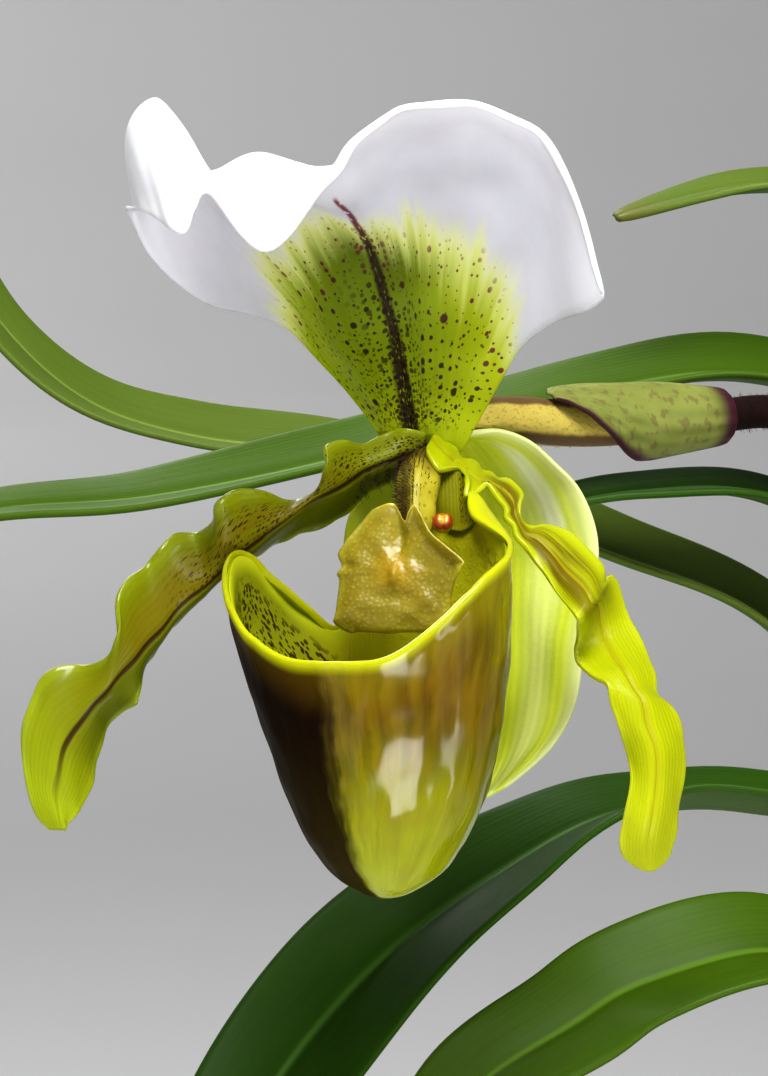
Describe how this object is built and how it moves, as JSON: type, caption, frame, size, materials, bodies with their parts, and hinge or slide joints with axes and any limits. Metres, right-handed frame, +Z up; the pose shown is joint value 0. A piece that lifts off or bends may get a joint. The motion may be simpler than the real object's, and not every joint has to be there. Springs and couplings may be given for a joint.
{
  "type": "slipper orchid in vase",
  "caption": "Slipper orchid growing in bark in a plain vase, with strap leaves and one arching scape that carries a spotted hooded bloom with a glossy pouch.",
  "frame": {"origin": "centre of the vase's foot, on the surface it stands on", "axes": "+Z up, the bloom leaning to -X and facing -Y"},
  "size_m": [0.3339, 0.2523, 0.3509],
  "materials": {
    "vase": "plain satin glaze",
    "potting_mix": "rough bark",
    "leaf": "smooth leathery leaf",
    "scape": "short dark hairs",
    "bract": "thin mottled sheath",
    "ovary": "matt, ribbed",
    "dorsal_sepal": "soft petal, white over spotted green",
    "petal": "waxy petal with dark veins",
    "synsepal": "soft petal, pale green",
    "pouch": "glossy lip",
    "column": "waxy",
    "staminode": "warty, wet shine"
  },
  "bodies": {
    "root": {"vase": "vase", "potting_mix": "potting_mix", "leaf_01": "leaf", "leaf_02": "leaf", "leaf_03": "leaf", "leaf_04": "leaf", "leaf_05": "leaf", "leaf_06": "leaf", "leaf_07": "leaf", "leaf_08": "leaf", "leaf_09": "leaf", "leaf_10": "leaf", "scape": "scape", "bract": "bract", "ovary": "ovary", "dorsal_sepal": "dorsal_sepal", "petal_left": "petal", "petal_right": "petal", "synsepal": "synsepal", "pouch": "pouch", "column": "column", "staminode": "staminode"}
  },
  "joints": []
}
